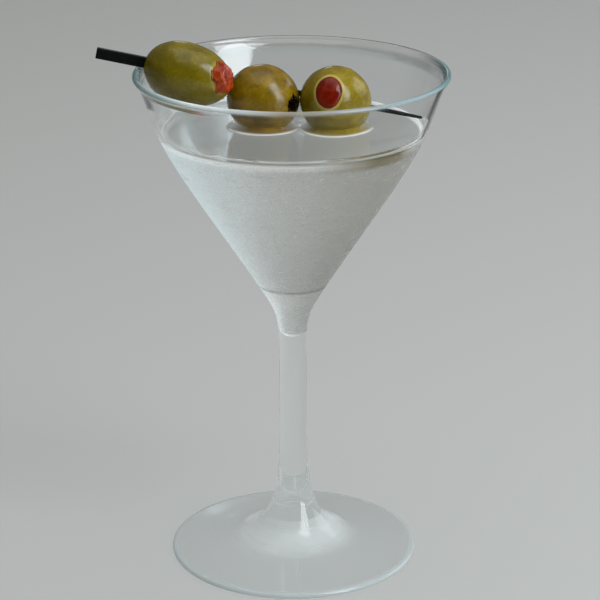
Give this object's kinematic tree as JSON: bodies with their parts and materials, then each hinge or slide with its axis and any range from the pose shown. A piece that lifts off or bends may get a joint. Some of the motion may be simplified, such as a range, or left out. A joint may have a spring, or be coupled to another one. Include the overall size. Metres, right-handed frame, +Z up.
{
  "type": "martini",
  "caption": "Clear cocktail in a stemmed glass with a wide flared bowl, garnished with stuffed green olives on a flat black pick.",
  "frame": {"origin": "centre of the flat underside of the foot, on the axis of the glass, on the table", "axes": "+Z up along the axis of the glass; the pick lies along X, its handle over the rim at -X and its tip inside at +X; the picture looks along +Y"},
  "size_m": [0.1139, 0.102, 0.176],
  "materials": {
    "glass": "clear and polished, with a fine mist of condensation on the bowl below the level of the drink",
    "drink": "clear liquid with a faint haze",
    "olive": "moist olive skin, satin with soft highlights",
    "pimento": "wet red pepper",
    "pick": "plain black lacquer"
  },
  "bodies": {
    "root": {"glass": "glass", "drink": "drink", "olive_1": "olive", "olive_2": "olive", "olive_3": "olive", "pimento_1": "pimento", "pimento_3": "pimento", "pick": "pick"}
  },
  "joints": []
}
